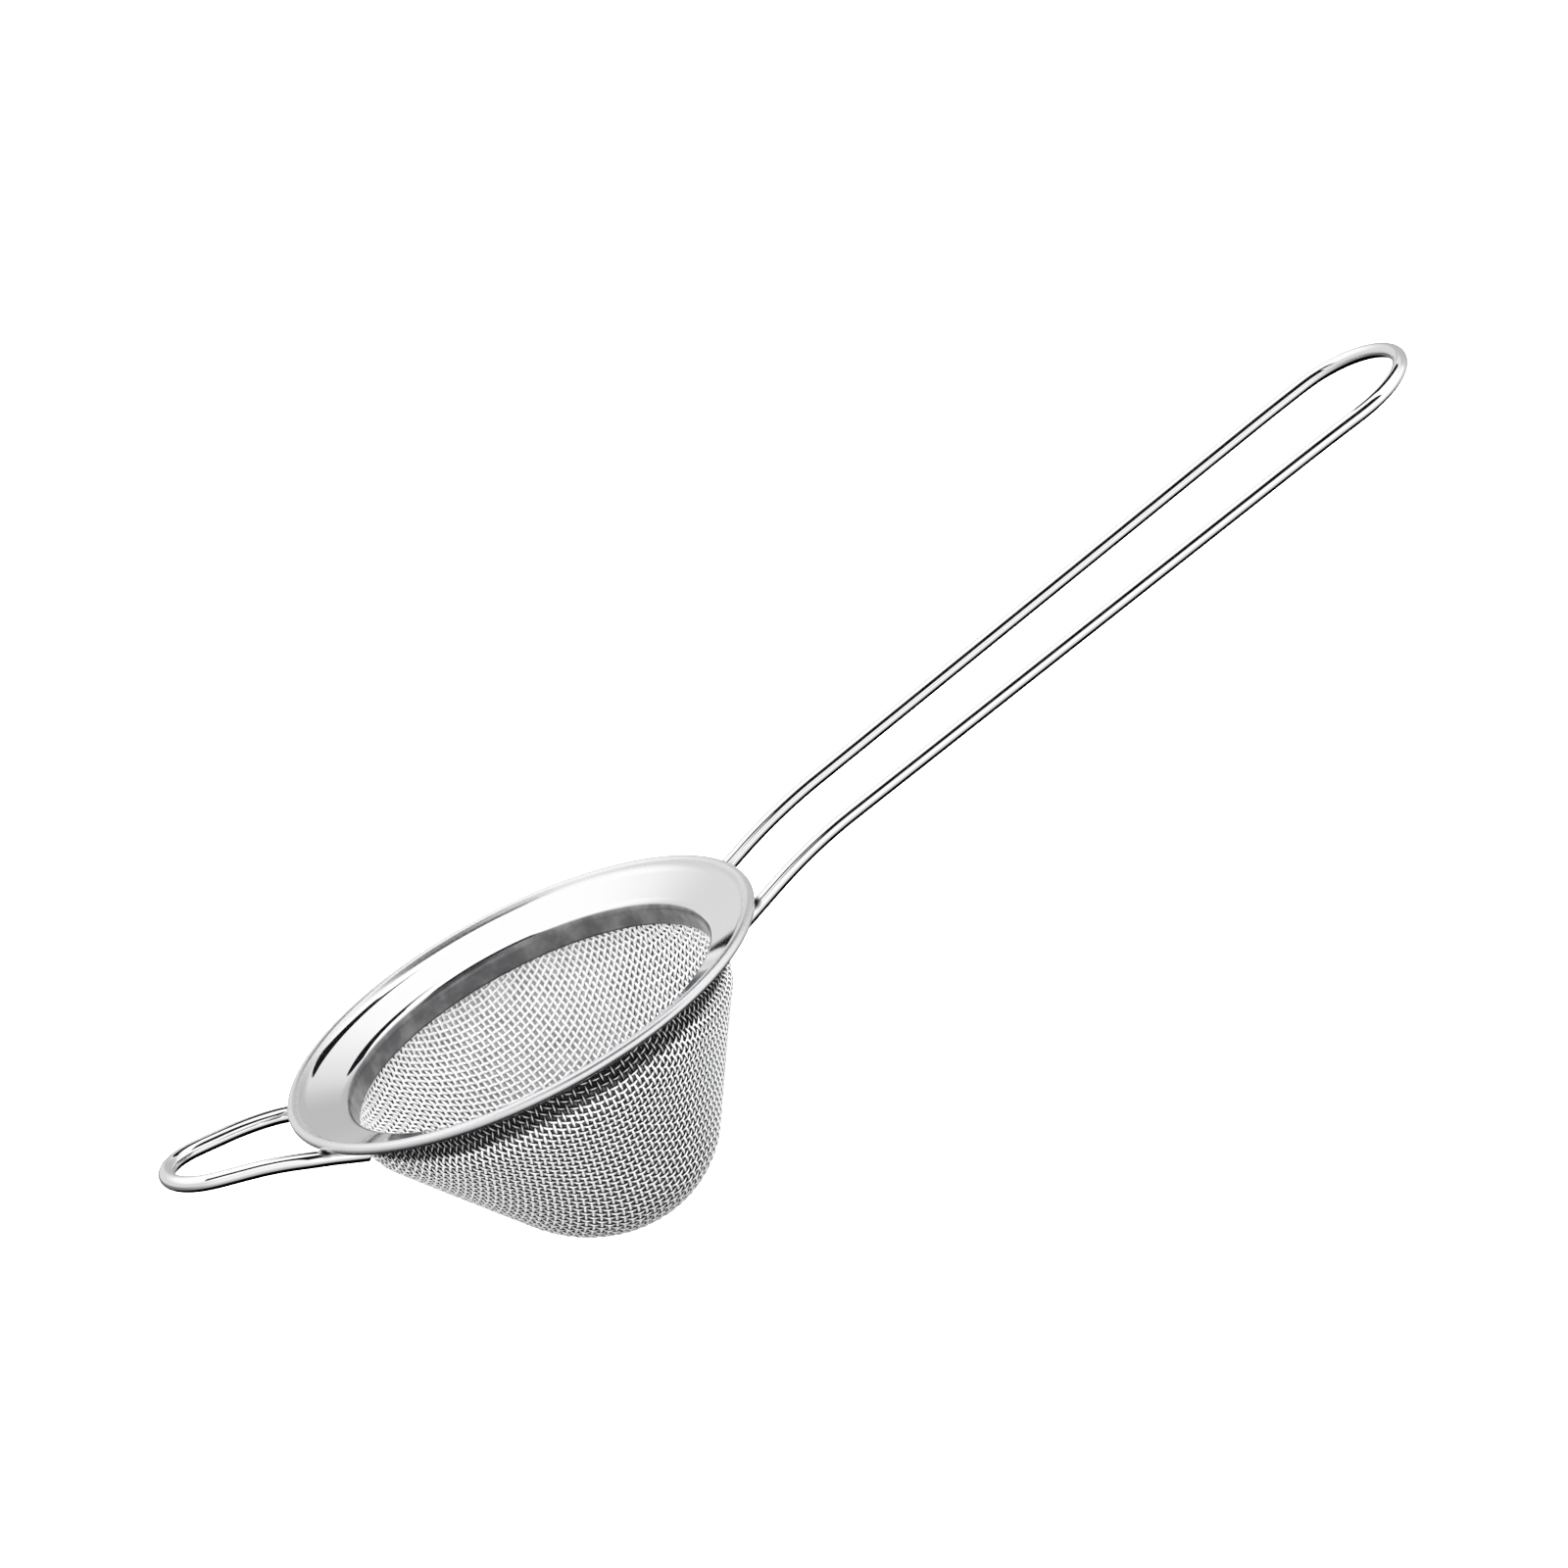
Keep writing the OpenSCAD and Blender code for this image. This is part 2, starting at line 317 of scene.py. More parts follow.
def handle_height(x):
    """Height of the handle's centre line, with its end loop bent down a little."""
    z = leg_height(x, HANDLE_LEG_Y, HANDLE_WIRE_R, HANDLE_ROOT_SLOPE, GRIP_SLOPE,
                   HANDLE_BEND_X, HANDLE_BEND_L)
    return z - np.maximum(0, (x - LOOP_X + LOOP_R) / (2 * LOOP_R)) ** 2 * LOOP_DROOP


def rest_height(x):
    """Height of the rest loop's centre line."""
    return leg_height(x, REST_LEG_Y, REST_WIRE_R, REST_ROOT_SLOPE, REST_SLOPE,
                      REST_BEND_X, REST_BEND_L)


handle_plan = half_plan(leg_start(HANDLE_LEG_Y, HANDLE_WIRE_R), HANDLE_LEG_Y,
                        HANDLE_BEND_X + HANDLE_BEND_L / 2, LOOP_X, LOOP_R)
rest_plan = half_plan(leg_start(REST_LEG_Y, REST_WIRE_R), REST_LEG_Y, RIM_R,
                      REST_X, REST_END_R)
handle = wire_piece("handle_polished", handle_plan, handle_height, 1, HANDLE_WIRE_R)
rest = wire_piece("rest_polished", rest_plan, rest_height, -1, REST_WIRE_R)

# ---- Basket: plain-woven wire cloth, draped like a net over the drawn form ----

PITCH = 1.28           # spacing of the threads
SLIP = 0.65            # how far the threads slide instead of shearing, 0 to 1
THREAD_R = 0.28        # radius of a thread, drawn a little heavy
THREAD_SWING = 0.165   # how far a thread runs either side of the cloth's middle surface
RISE_SHARE = 0.15      # share of a thread's rise and fall in its relief
WEAVE_TURN = 9.0       # angle of the threads to the handle, degrees
SPAN = 62              # threads each side of the tip, more than reach the rim
PROFILE_TOP = 16.0     # height to which the profile runs on, so that no thread ends short
LEAN_POWER = 1.25      # how the lean grows from the band down to the tip


def basket_profile():
    """The cloth's middle surface by arc length from the tip: radius, height and lean."""
    shoulder_c = np.array([BAND_R - SHOULDER_R, -BAND_DEPTH])
    tip_c = np.array([0, TIP_R - BASKET_DEPTH])
    d = shoulder_c - tip_c
    slope = bearing(d) - math.degrees(math.acos((TIP_R - SHOULDER_R) / np.hypot(*d)))
    mid = CLOTH_T / 2
    points = np.vstack([arc(tip_c, TIP_R - mid, -90, slope, 200),
                        arc(shoulder_c, SHOULDER_R - mid, slope, 0, 60),
                        [[BAND_R - mid, PROFILE_TOP]]])
    s = run_of(points)
    t = np.linspace(0, s[-1], 2000)
    r, z = np.interp(t, s, points[:, 0]), np.interp(t, s, points[:, 1])
    down = np.clip((-BAND_DEPTH - z) / (BASKET_DEPTH - BAND_DEPTH), 0, None)
    return t, r, z, TIP_LEAN * down**LEAN_POWER


PROFILE = basket_profile()


def on_cloth(q):
    """Point of the cloth's middle surface for a place q on its flat chart round the tip."""
    t = np.hypot(q[..., 0], q[..., 1])
    u = q / np.maximum(t, 1e-9)[..., None]
    r, z, lean = (np.interp(t, PROFILE[0], p) for p in PROFILE[1:])
    return np.stack([r * u[..., 0] + lean, r * u[..., 1], z], -1)


def cloth_normal(q):
    """Outward normal of the cloth at q."""
    e = 1e-2
    a = on_cloth(q + [e, 0]) - on_cloth(q - [e, 0])
    b = on_cloth(q + [0, e]) - on_cloth(q - [0, e])
    n = np.cross(b, a)
    return n / np.linalg.norm(n, axis=-1)[..., None]


def drape():
    """Chart places of the crossings: every cell keeps sides of one pitch, as cloth does."""
    m = 2 * SPAN + 1
    q = np.full((m, m, 2), np.nan)
    turn = math.radians(WEAVE_TURN)
    e1 = np.array([math.cos(turn), math.sin(turn)])
    e2 = np.array([-e1[1], e1[0]])
    for i in range(-SPAN, SPAN + 1):
        q[SPAN + i, SPAN] = i * PITCH * e1
        q[SPAN, SPAN + i] = i * PITCH * e2
    for si in (1, -1):
        for sj in (1, -1):
            for k in range(2, 2 * SPAN + 1):
                i = np.arange(max(1, k - SPAN), min(k - 1, SPAN) + 1)
                j = k - i
                a = q[SPAN + si * (i - 1), SPAN + sj * j]
                b = q[SPAN + si * i, SPAN + sj * (j - 1)]
                c = q[SPAN + si * (i - 1), SPAN + sj * (j - 1)]
                q[SPAN + si * i, SPAN + sj * j] = fourth_corner(a, b, c)
    k = PITCH * np.arange(-SPAN, SPAN + 1)
    flat = k[:, None, None] * e1 + k[None, :, None] * e2
    return (1 - SLIP) * q + SLIP * flat


def fourth_corner(a, b, c):
    """The corner of a cell that lies one pitch from both a and b, by Newton's method."""
    q = a + b - c
    inside = np.hypot(q[:, 0], q[:, 1]) < PROFILE[0][-1] + 3
    pa, pb = on_cloth(a), on_cloth(b)

    def miss(q):
        p = on_cloth(q)
        return np.stack([((p - pa) ** 2).sum(1), ((p - pb) ** 2).sum(1)], 1) - PITCH**2

    e = 1e-4
    for _ in range(12):
        f = miss(q)
        jac = np.stack([(miss(q + [e, 0]) - f) / e, (miss(q + [0, e]) - f) / e], -1)
        det = jac[:, 0, 0] * jac[:, 1, 1] - jac[:, 0, 1] * jac[:, 1, 0]
        det = np.where(np.abs(det) < 1e-6, np.nan, det)
        step = np.stack([(jac[:, 1, 1] * f[:, 0] - jac[:, 0, 1] * f[:, 1]) / det,
                         (jac[:, 0, 0] * f[:, 1] - jac[:, 1, 0] * f[:, 0]) / det], 1)
        length = np.linalg.norm(step, axis=1)
        q = q - step * np.minimum(1, 0.5 * PITCH / np.maximum(length, 1e-9))[:, None]
    q[~inside] = np.nan
    return q


def thread_paths(crossings, parity):
    """Centre lines of one set of threads, over and under the other set, cut at the top."""
    found = []
    m = len(crossings)
    for i in range(m):
        row = crossings[i]
        ok = np.isfinite(row[:, 0])
        if ok.sum() < 4:
            continue
        first, last = np.flatnonzero(ok)[[0, -1]]
        if not ok[first:last + 1].all():
            continue
        j = np.arange(first, last + 1)
        fine = np.linspace(first, last, (last - first) * STEPS + 1)
        q = np.stack([smooth_through(row[j, c], STEPS) for c in (0, 1)], 1)
        p, n = on_cloth(q), cloth_normal(q)
        over = np.cos(np.pi * (fine + i + parity))
        p = p + n * (THREAD_SWING * over)[:, None]
        keep = p[:, 2] < CLOTH_TOP
        runs = np.flatnonzero(np.diff(np.r_[0, keep.astype(int), 0]))
        for a, b in zip(runs[::2], runs[1::2], strict=True):
            if b - a > 3:
                found.append((p[a:b], n[a:b], over[a:b]))
    return found


def smooth_through(v, steps):
    """Catmull-Rom curve through values, with a number of steps between each two."""
    v = np.r_[2 * v[0] - v[1], v, 2 * v[-1] - v[-2]]
    a, b, c, d = v[:-3], v[1:-2], v[2:-1], v[3:]
    t = np.arange(steps)[None, :] / steps
    a, b, c, d = (x[:, None] for x in (a, b, c, d))
    out = 0.5 * (2 * b + (c - a) * t + (2 * a - 5 * b + 4 * c - d) * t**2
                 + (3 * b - a - 3 * c + d) * t**3)
    return np.r_[out.ravel(), v[-2]]


def woven_piece(name, threads):
    """One mesh with a round tube for each thread. Its relief attribute is the side of the
    thread, 1 outside and -1 inside the basket, with a little of its rise over the cloth."""
    verts, faces, uv, relief, count = [], [], [], [], 0
    a = 2 * np.pi * np.arange(THREAD_SIDES) / THREAD_SIDES + math.radians(THREAD_FIRST)
    for k, (path, normals, over) in enumerate(threads):
        rings = tube_points(path, normals, THREAD_R, THREAD_SIDES, THREAD_FIRST)
        rows = len(rings)
        verts.append(rings.reshape(-1, 3))
        faces.append(grid_faces(rows, THREAD_SIDES, count))
        # The relief carries the painted shade down the sides and under the crossings.
        relief.append((RISE_SHARE * over[:, None]
                       + (1 - RISE_SHARE) * np.sin(a)[None, :]).ravel())
        s = run_of(path)
        u = np.abs(np.linspace(-1, 1, THREAD_SIDES, endpoint=False))
        uv.append(np.stack(np.broadcast_arrays(u[None, :] + 3 * k, s[:, None]), -1)
                  .reshape(-1, 2))
        count += rows * THREAD_SIDES
    ob = make_mesh(name, np.vstack(verts), np.vstack(faces), np.vstack(uv))
    layer = ob.data.attributes.new("relief", "FLOAT", "POINT")
    layer.data.foreach_set("value", np.concatenate(relief).astype(np.float32))
    return ob


def shade_piece(name):
    """Painted shade for the dark seen in the holes: one thin surface in the middle of the cloth.
    """
    t = np.linspace(0.4, PROFILE[0][PROFILE[2] < CLOTH_TOP][-1], SHADE_ROWS)
    a = 2 * np.pi * np.arange(SHADE_SIDES) / SHADE_SIDES
    q = t[:, None, None] * np.stack([np.cos(a), np.sin(a)], -1)[None]
    return make_mesh(name, on_cloth(q).reshape(-1, 3), grid_faces(len(t), SHADE_SIDES))


crossings = drape()
warp = thread_paths(crossings, 0)
weft = thread_paths(crossings.transpose(1, 0, 2), 1)
cloth = []
for label, threads in (("warp", warp), ("weft", weft)):
    half = len(threads) // 2
    cloth.append(woven_piece(label + "_near", threads[:half]))
    cloth.append(woven_piece(label + "_far", threads[half:]))
shade = shade_piece("cloth_shade")

# ---- Materials ----

BRIGHT = (0.955, 0.955, 0.96)
WORN_SHEET = (0.92, 0.92, 0.925)
WORN_WIRE = (0.91, 0.91, 0.915)
# Painted shade inside the collar, mottled at random between these two.
COLLAR_SHADE_DEEP, COLLAR_SHADE_PALE = (0.17, 0.17, 0.175), (0.36, 0.36, 0.365)
SATIN = (0.80, 0.80, 0.81)
# Painted contact shade, near black, at the welds under the bead and along the collar's foot.
CONTACT_SHADE = (0.05, 0.045, 0.04)
THREAD_TOP, THREAD_AGED = (0.98, 0.98, 0.985), (0.90, 0.90, 0.905)
# Painted shade down a thread's sides and where it dives under the other threads.
PAINTED_THREAD_SHADE = (0.03, 0.03, 0.032)
# Painted shade seen through the holes of the cloth, mottled at random between these two.
SHADE_DARK, SHADE_PAINTED_PALE = (0.004, 0.004, 0.004), (0.02, 0.018, 0.016)
FROST_OUTSIDE, FROST_WITHIN = 0.34, 0.42   # how far a thread's top scatters light
WELD_SHADE_FULL, WELD_SHADE_GONE = 0.9, 1.8             # edge of the painted contact shade round a weld
SHADE_FADE_LOW, SHADE_FADE_HIGH = -0.7, -0.3           # heights between which the painted shade fades out below the bead
WELD_SPOT_ROUGH = 0.4                         # roughness added at a weld spot
BEAD_INNER, BEAD_OUTER = RIM_R - 2.3, RIM_R - 1.7   # where the dish turns satin
WALL_INNER, WALL_OUTER = MOUTH_R + 0.28, MOUTH_R + 0.55   # where the painted shade and rougher finish inside the collar start
FOOT_SHADE_LOW, FOOT_SHADE_HIGH = COLLAR_END + 0.1, COLLAR_END + 0.4   # painted shade along its foot


def feed(tree, v, socket):
    """Links a socket to an input, or sets the input to a plain number or colour."""
    if isinstance(v, bpy.types.NodeSocket):
        tree.links.new(v, socket)
    else:
        socket.default_value = (*v, 1) if isinstance(v, tuple) else v


def op(tree, kind, *args, clamp=False):
    """A math node fed by sockets or plain numbers."""
    n = tree.nodes.new("ShaderNodeMath")
    n.operation = kind
    n.use_clamp = clamp
    for i, v in enumerate(args):
        feed(tree, v, n.inputs[i])
    return n.outputs[0]


def split_up(tree, v):
    """The three parts of a vector."""
    n = tree.nodes.new("ShaderNodeSeparateXYZ")
    tree.links.new(v, n.inputs[0])
    return n.outputs


def ramp(tree, v, low, high, out_low=0.0, out_high=1.0):
    """A smooth step from out_low at low to out_high at high."""
    n = tree.nodes.new("ShaderNodeMapRange")
    n.interpolation_type = "SMOOTHSTEP"
    tree.links.new(v, n.inputs["Value"])
    for key, x in (("From Min", low), ("From Max", high), ("To Min", out_low),
                   ("To Max", out_high)):
        n.inputs[key].default_value = x
    return n.outputs["Result"]


def vector(tree, *parts):
    """A vector from three sockets or numbers."""
    n = tree.nodes.new("ShaderNodeCombineXYZ")
    for i, v in enumerate(parts):
        feed(tree, v, n.inputs[i])
    return n.outputs[0]


def noise(tree, place, scale, detail, rough):
    """Noise with a number of features to the unit of place."""
    n = tree.nodes.new("ShaderNodeTexNoise")
    tree.links.new(place, n.inputs["Vector"])
    n.inputs["Scale"].default_value = scale
    n.inputs["Detail"].default_value = detail
    n.inputs["Roughness"].default_value = rough
    return n.outputs["Fac"]


def blend(tree, share, low, high):
    """A colour between low and high; each is a colour or a socket."""
    n = tree.nodes.new("ShaderNodeMix")
    n.data_type = "RGBA"
    tree.links.new(share, n.inputs["Factor"])
    for key, v in (("A", low), ("B", high)):
        feed(tree, v, [i for i in n.inputs if i.name == key and i.type == "RGBA"][0])
    return [o for o in n.outputs if o.type == "RGBA"][0]


def bump(tree, layers):
    """Bump nodes in a row for (height, distance in mm) pairs; returns the normal."""
    normal = None
    for height, distance in layers:
        n = tree.nodes.new("ShaderNodeBump")
        n.inputs["Strength"].default_value = 1.0
        n.inputs["Distance"].default_value = distance * MM
        tree.links.new(height, n.inputs["Height"])
        if normal is not None:
            tree.links.new(normal, n.inputs["Normal"])
        normal = n.outputs["Normal"]
    return normal


def new_steel(name):
    """A metal material with its tree, shader and the position on the part in millimetres."""
    mat = bpy.data.materials.new(name)
    mat.use_nodes = True
    tree = mat.node_tree
    shader = tree.nodes["Principled BSDF"]
    shader.inputs["Metallic"].default_value = 1.0
    coords = tree.nodes.new("ShaderNodeTexCoord")
    scale = tree.nodes.new("ShaderNodeVectorMath")
    scale.operation = "SCALE"
    scale.inputs["Scale"].default_value = 1 / MM
    tree.links.new(coords.outputs["Object"], scale.inputs[0])
    return mat, tree, shader, scale.outputs[0]


def weld_shade_mask(tree, place):
    """1 at the four spots where the wires are welded under the bead, 0 a little way off: the mask
    of the painted contact shade there.
    """
    x, y, z = split_up(tree, place)
    mirrored = vector(tree, x, op(tree, "ABSOLUTE", y), z)
    weld_shade = None
    for spot in WELDS:
        d = tree.nodes.new("ShaderNodeVectorMath")
        d.operation = "DISTANCE"
        tree.links.new(mirrored, d.inputs[0])
        d.inputs[1].default_value = spot
        near = ramp(tree, d.outputs["Value"], WELD_SHADE_FULL, WELD_SHADE_GONE, 1, 0)
        weld_shade = near if weld_shade is None else op(tree, "MAXIMUM", weld_shade, near)
    return op(tree, "MULTIPLY", weld_shade, ramp(tree, z, SHADE_FADE_LOW, SHADE_FADE_HIGH, 1, 0))




def rim_material():
    """Pressed sheet, polished on the dish and bead and rougher inside the collar, with painted
    shade inside the collar, along its foot and at the welds.
    """
    mat, tree, shader, place = new_steel("polished_sheet")
    x, y, z = split_up(tree, place)
    radius = op(tree, "SQRT", op(tree, "ADD", op(tree, "POWER", x, 2.0),
                                 op(tree, "POWER", y, 2.0)))
    inside = ramp(tree, radius, WALL_INNER, WALL_OUTER, 1, 0)
    blotch = ramp(tree, noise(tree, place, 0.16, 4, 0.6), 0.35, 0.7)
    turned = vector(tree, op(tree, "MULTIPLY", radius, 9.0), op(tree, "MULTIPLY", z, 9.0),
                    op(tree, "MULTIPLY", op(tree, "ARCTAN2", y, x), 1.5))
    lines = noise(tree, turned, 1.0, 3, 0.6)
    scuffs = noise(tree, place, 2.2, 5, 0.65)
    weld_shade = weld_shade_mask(tree, place)
    bead = ramp(tree, radius, BEAD_INNER, BEAD_OUTER)
    # Painted shade inside the collar.
    collar_shade = blend(tree, blotch, COLLAR_SHADE_DEEP, COLLAR_SHADE_PALE)
    # Painted shade along the collar's foot, in the contact shade colour.
    foot_shade = op(tree, "MULTIPLY", inside, ramp(tree, z, FOOT_SHADE_LOW, FOOT_SHADE_HIGH, 1, 0))
    collar_shade = blend(tree, foot_shade, collar_shade, CONTACT_SHADE)
    clean = blend(tree, bead, blend(tree, scuffs, BRIGHT, WORN_SHEET), SATIN)
    # Painted contact shade at the welds, over the rest.
    tree.links.new(blend(tree, weld_shade, blend(tree, inside, clean, collar_shade), CONTACT_SHADE),
                   shader.inputs["Base Color"])
    rough = op(tree, "ADD", ramp(tree, scuffs, 0.35, 0.75, 0.035, 0.085),
               op(tree, "ADD", op(tree, "MULTIPLY", bead, ramp(tree, lines, 0.3, 0.7, 0.22, 0.3)),
                  op(tree, "MULTIPLY", inside, ramp(tree, lines, 0.3, 0.7, 0.24, 0.28))))
    tree.links.new(op(tree, "ADD", rough, op(tree, "MULTIPLY", weld_shade, WELD_SPOT_ROUGH)),
                   shader.inputs["Roughness"])
    wave = noise(tree, place, 0.09, 1, 0.4)
    tree.links.new(bump(tree, ((wave, 0.03), (lines, 0.0004), (scuffs, 0.0008))),
                   shader.inputs["Normal"])
    return mat


def wire_material():
    """Bright drawn wire: fine lines along it, handling scuffs, painted contact shade at the
    welds.
    """
    mat, tree, shader, place = new_steel("polished_wire")
    along = tree.nodes.new("ShaderNodeUVMap")
    along.uv_map = "along"
    across, length, _ = split_up(tree, along.outputs[0])
    drawn = noise(tree, vector(tree, op(tree, "MULTIPLY", across, 14.0),
                               op(tree, "MULTIPLY", length, 0.35), 0.0), 1.0, 3, 0.6)
    scuffs = noise(tree, place, 1.6, 5, 0.65)
    weld_shade = weld_shade_mask(tree, place)
    clean = blend(tree, scuffs, BRIGHT, WORN_WIRE)
    tree.links.new(blend(tree, weld_shade, clean, CONTACT_SHADE), shader.inputs["Base Color"])
    rough = op(tree, "ADD", ramp(tree, scuffs, 0.35, 0.75, 0.015, 0.05),
               ramp(tree, drawn, 0.3, 0.7, 0.0, 0.02))
    tree.links.new(op(tree, "ADD", rough, op(tree, "MULTIPLY", weld_shade, WELD_SPOT_ROUGH)),
                   shader.inputs["Roughness"])
    tree.links.new(bump(tree, ((noise(tree, place, 0.12, 1, 0.4), 0.012), (drawn, 0.0005))),
                   shader.inputs["Normal"])
    return mat


def cloth_material():
    """Drawn thread: bright along its top, with painted shade down its sides and where it dives
    under, more so outside and just under the rim.
    """
    mat, tree, shader, place = new_steel("drawn_thread")
    relief = tree.nodes.new("ShaderNodeAttribute")
    relief.attribute_name = "relief"
    height = relief.outputs["Fac"]
    # Painted shade on the outside threads just under the rim.
    under_rim_shade = ramp(tree, split_up(tree, place)[2], -BAND_DEPTH - 0.6, -BAND_DEPTH + 0.8)
    outside = ramp(tree, op(tree, "SUBTRACT", height, op(tree, "MULTIPLY", under_rim_shade, 0.3)),
                   0.38, 0.8)
    within = ramp(tree, op(tree, "MULTIPLY", height, -1.0), 0.08, 0.5)
    age = noise(tree, place, 0.35, 4, 0.6)
    # Where the thread shows its own colour; elsewhere painted shade.
    top = op(tree, "MAXIMUM", outside, within)
    clean = blend(tree, age, THREAD_TOP, THREAD_AGED)
    tree.links.new(blend(tree, top, PAINTED_THREAD_SHADE, clean), shader.inputs["Base Color"])
    frosted = op(tree, "ADD", op(tree, "MULTIPLY", outside, FROST_OUTSIDE),
                 op(tree, "MULTIPLY", within, FROST_WITHIN))
    tree.links.new(op(tree, "SUBTRACT", 1.0, frosted), shader.inputs["Metallic"])
    grain = noise(tree, place, 9.0, 2, 0.5)
    tree.links.new(op(tree, "ADD", ramp(tree, top, 0, 1, 0.45, 0.2),
                      ramp(tree, grain, 0.3, 0.7, 0.0, 0.06)), shader.inputs["Roughness"])
    tree.links.new(bump(tree, ((grain, 0.002),)), shader.inputs["Normal"])
    return mat


def shade_material():
    """Painted shade: nearly black and a little see-through, mottled at random."""
    mat = bpy.data.materials.new("cloth_shade")
    mat.use_nodes = True
    tree = mat.node_tree
    shader = tree.nodes["Principled BSDF"]
    coords = tree.nodes.new("ShaderNodeTexCoord")
    mottle = noise(tree, coords.outputs["Object"], 260.0, 3, 0.6)
    tree.links.new(blend(tree, mottle, SHADE_DARK, SHADE_PAINTED_PALE),
                   shader.inputs["Base Color"])
    tree.links.new(ramp(tree, mottle, 0.3, 0.7, 0.75, 0.95), shader.inputs["Roughness"])
    tree.links.new(ramp(tree, mottle, 0.3, 0.7, 0.93, 0.86), shader.inputs["Alpha"])
    shader.inputs["Specular IOR Level"].default_value = 0.05
    return mat


def weld_spot(sign, leg_y, root):
    """Where a wire is pressed against the bead."""
    seat = math.sqrt(BEAD_C[0] ** 2 - leg_y**2)
    tilt = math.radians(root)
    reach = BEAD_R - WELD_SINK / 2
    return (sign * (seat + reach * math.sin(tilt)), leg_y, -reach * math.cos(tilt))


WELDS = [weld_spot(1, HANDLE_LEG_Y, HANDLE_ROOT_SLOPE),
         weld_spot(-1, REST_LEG_Y, REST_ROOT_SLOPE)]
rim_mat, wire_mat, cloth_mat = rim_material(), wire_material(), cloth_material()
shade_mat = shade_material()

for ob, mat, slot, node in ((rim, rim_mat, "rim_steel", "rim_ring"),
                            (handle, wire_mat, "wire_steel", "handle_wire"),
                            (rest, wire_mat, "wire_steel", "rest_wire"),
                            (shade, shade_mat, "wire_cloth", "mesh_basket"),
                            *((c, cloth_mat, "wire_cloth", "mesh_basket") for c in cloth)):
    ob.data.materials.append(mat)
    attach(ob, "root")
    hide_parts(node)

# ---- Floor, light and camera ----

FLOOR_HALF = 4.0       # half the floor's side, in metres


def stage_piece(name, verts, faces, settings):
    """A plain-coloured thing that stands round the object and isn't part of it."""
    mat = bpy.data.materials.new(name)
    mat.use_nodes = True
    shader = mat.node_tree.nodes["Principled BSDF"]
    for key, v in settings.items():
        feed(mat.node_tree, v, shader.inputs[key])
    me = bpy.data.meshes.new(name)
    me.from_pydata(verts, [], faces)
    me.materials.append(mat)
    ob = bpy.data.objects.new(name, me)
    bpy.context.scene.collection.objects.link(ob)
    return ob


floor = stage_piece(
    "floor", [(x * FLOOR_HALF, y * FLOOR_HALF, 0) for x, y in
              ((-1, -1), (1, -1), (1, 1), (-1, 1))], [(0, 1, 2, 3)],
    {"Base Color": (0.9, 0.9, 0.9), "Roughness": 0.9,
     "Emission Color": (1.0, 1.0, 1.0), "Emission Strength": 0.7})
floor.location = (0, 0, cad_box[0][2])
floor.visible_glossy = False

world = bpy.data.worlds.new("studio")
bpy.context.scene.world = world
world.use_nodes = True
wt = world.node_tree
wt.nodes.clear()

# Directions in the world: z is up, azimuth runs from +Y (behind) towards +X (the handle).
toward = wt.nodes.new("ShaderNodeTexCoord").outputs["Generated"]
dx, dy, dz = split_up(wt, toward)
elevation = op(wt, "MULTIPLY", op(wt, "ARCSINE", dz), 180 / math.pi)
azimuth = op(wt, "MULTIPLY", op(wt, "ARCTAN2", dx, dy), 180 / math.pi)
front_right = op(wt, "MULTIPLY", op(wt, "SUBTRACT", dx, dy), math.sqrt(0.5))


def flag(centre, half_az, low, high, edge):
    """1 inside a dark patch round an azimuth, between two elevations, with soft edges."""
    off = op(wt, "ABSOLUTE", op(wt, "WRAP", op(wt, "SUBTRACT", azimuth, centre), 180, -180))
    side = ramp(wt, off, half_az - edge, half_az + edge, 1, 0)
    bottom = ramp(wt, elevation, low - edge, low + edge)
    top = ramp(wt, elevation, high - edge, high + edge, 1, 0)
    return op(wt, "MULTIPLY", op(wt, "MULTIPLY", side, bottom), top)


def background(strength):
    """White light from all round; its strength is a number or a socket."""
    n = wt.nodes.new("ShaderNodeBackground")
    n.inputs["Color"].default_value = (1, 1, 1, 1)
    feed(wt, strength, n.inputs["Strength"])
    return n.outputs[0]


LEVEL_BLEND = 0.12                   # height over which the ground turns into the sky
POOL_TILT, POOL_TURN = -75, -20      # middle of the dark pool below, degrees
POOL_OUTER, POOL_INNER = 52, 42      # its soft edge, degrees from the middle
POOL_DARK, VEIL_DARK = 0.92, 0.14
DISPLAY_GAMMA = 2.2
MIRRORED_STRENGTH, SOFT_STRENGTH = 1.1, 3.0   # what gloss sees, and what lights the rest

# Brightness as it shows, 0 to 1: a bright ceiling, a floor lit from the front right.
sky = op(wt, "ADD", ramp(wt, dz, 0.42, 0.78, 0.83, 0.98),
         ramp(wt, front_right, -0.1, 0.8, 0, 0.15))
ground = op(wt, "ADD", op(wt, "MULTIPLY", front_right, 0.32),
            op(wt, "ADD", op(wt, "MULTIPLY", dz, 0.35), 0.84))
mixed = op(wt, "ADD",
           op(wt, "MULTIPLY", sky, ramp(wt, dz, -LEVEL_BLEND, LEVEL_BLEND)),
           op(wt, "MULTIPLY", ground, ramp(wt, dz, -LEVEL_BLEND, LEVEL_BLEND, 1, 0)),
           clamp=True)

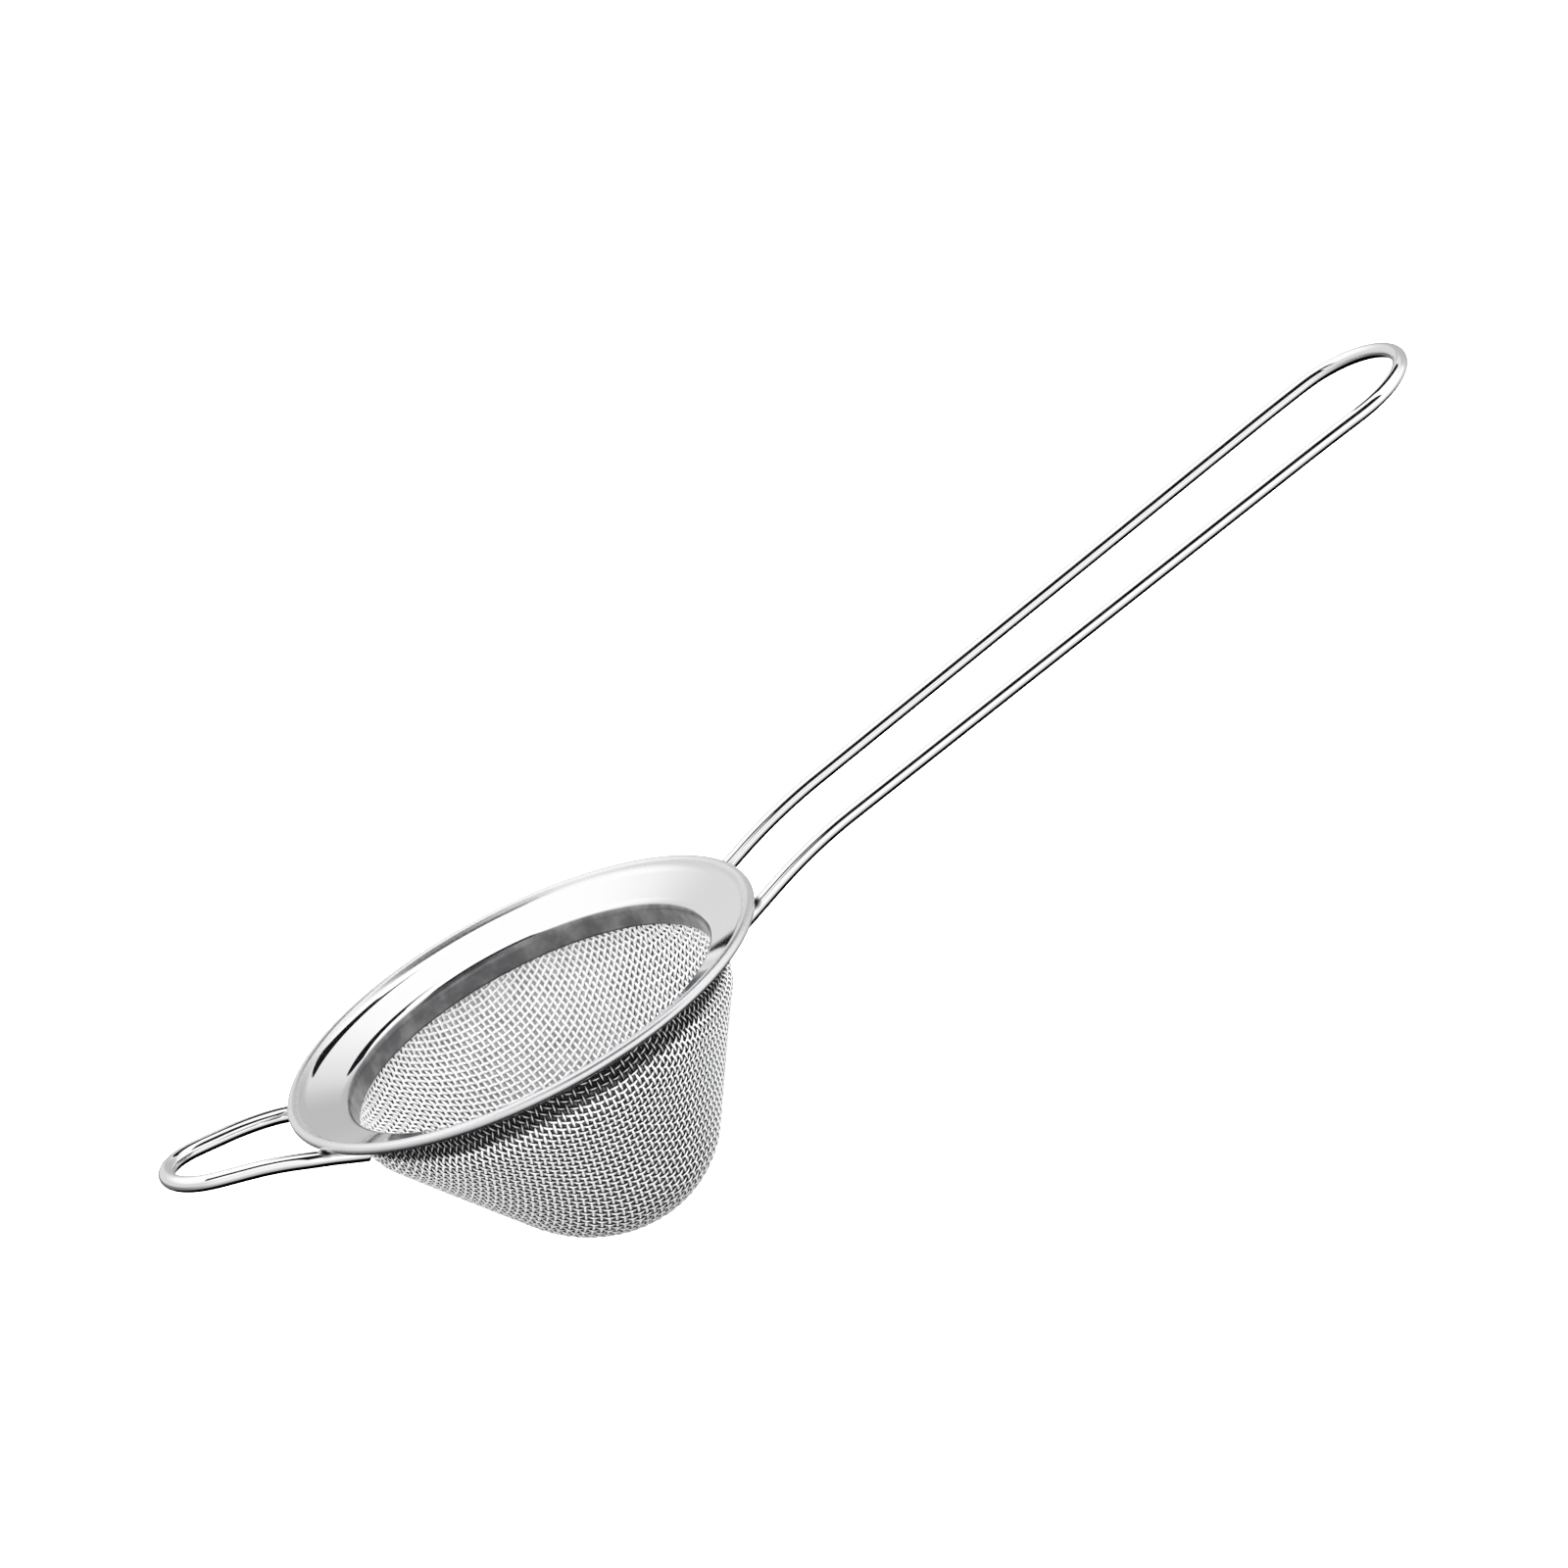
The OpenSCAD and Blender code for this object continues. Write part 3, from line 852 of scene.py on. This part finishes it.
# A dark pool below, and two darker patches round the horizon.
below = wt.nodes.new("ShaderNodeVectorMath")
below.operation = "DOT_PRODUCT"
wt.links.new(toward, below.inputs[0])
tilt, turn = math.radians(POOL_TILT), math.radians(POOL_TURN)
below.inputs[1].default_value = (math.sin(turn) * math.cos(tilt),
                                 math.cos(turn) * math.cos(tilt), math.sin(tilt))
pool = ramp(wt, below.outputs["Value"], math.cos(math.radians(POOL_OUTER)),
            math.cos(math.radians(POOL_INNER)), 0.0, POOL_DARK)
gloom = op(wt, "SUBTRACT", 1.0, pool)
veil = op(wt, "MULTIPLY", flag(38, 30, -12, 26, 6), VEIL_DARK)
for panel in (flag(1, 4, -7, 5, 1.5), veil):
    gloom = op(wt, "MULTIPLY", gloom, op(wt, "SUBTRACT", 1.0, panel))
glow = op(wt, "POWER", op(wt, "MULTIPLY", mixed, gloom), DISPLAY_GAMMA)
which = wt.nodes.new("ShaderNodeMixShader")
wt.links.new(wt.nodes.new("ShaderNodeLightPath").outputs["Is Glossy Ray"], which.inputs[0])
wt.links.new(background(SOFT_STRENGTH), which.inputs[1])
wt.links.new(background(op(wt, "MULTIPLY", glow, MIRRORED_STRENGTH)), which.inputs[2])
wt.links.new(which.outputs[0], wt.nodes.new("ShaderNodeOutputWorld").inputs["Surface"])
bpy.context.scene.view_settings.view_transform = "Standard"


def dark_panel(name, line, z_low, z_high):
    """A black studio panel, upright on a line of [x, y] points in mm, seen in reflections."""
    verts = [(x * MM, y * MM, z * MM) for z in (z_low, z_high) for x, y in line]
    n = len(line)
    ob = stage_piece(name, verts, [(i, i + 1, n + i + 1, n + i) for i in range(n - 1)],
                     {"Base Color": (0.002, 0.002, 0.002), "Roughness": 1.0,
                      "Specular IOR Level": 0.0})
    for ray in ("visible_camera", "visible_diffuse", "visible_shadow",
                "visible_transmission", "visible_volume_scatter"):
        setattr(ob, ray, False)


# The far panel is curved round the rim; the two near ones stand in front, side by side.
PANEL_FAR, PANEL_X = 640.0, -30
FRONT_Y, FRONT_TOP, FRONT_SPLIT_X = -320, 1100, -40
far_line = [(PANEL_X + PANEL_FAR * math.sin(v), PANEL_FAR * math.cos(v))
            for v in np.radians(np.linspace(23.4, 64, 15))]
dark_panel("panel_back", far_line, PANEL_FAR * math.tan(math.radians(32)),
           PANEL_FAR * math.tan(math.radians(60.5)))
dark_panel("panel_front", [(FRONT_SPLIT_X, FRONT_Y), (500, FRONT_Y)], 175, FRONT_TOP)
dark_panel("panel_front_left", [(-330, FRONT_Y), (FRONT_SPLIT_X, FRONT_Y)], 420, FRONT_TOP)

AZIMUTH, ELEVATION, ROLL = -7.5, 20.31, -27.10   # the camera's place and lean, degrees
DISTANCE = 1.0
LENS, SENSOR = 148.95, 36
AIM = (0.040708, 0.033562)   # from the rim's centre to the view's centre, right and up

a, e, roll = (math.radians(v) for v in (AZIMUTH, ELEVATION, ROLL))
back = np.array([math.sin(a) * math.cos(e), -math.cos(a) * math.cos(e), math.sin(e)])
level = np.array([math.cos(a), math.sin(a), 0])
upright = np.cross(back, level)
right = math.cos(roll) * level + math.sin(roll) * upright
up = -math.sin(roll) * level + math.cos(roll) * upright
cam = bpy.data.objects.new("camera", bpy.data.cameras.new("camera"))
cam.data.sensor_width = SENSOR
cam.data.lens = LENS
place = AIM[0] * right + AIM[1] * up + DISTANCE * back
cam.matrix_world = Matrix([[right[k], up[k], back[k], place[k]] for k in range(3)]
                          + [[0, 0, 0, 1]])
bpy.context.scene.collection.objects.link(cam)
bpy.context.scene.camera = cam
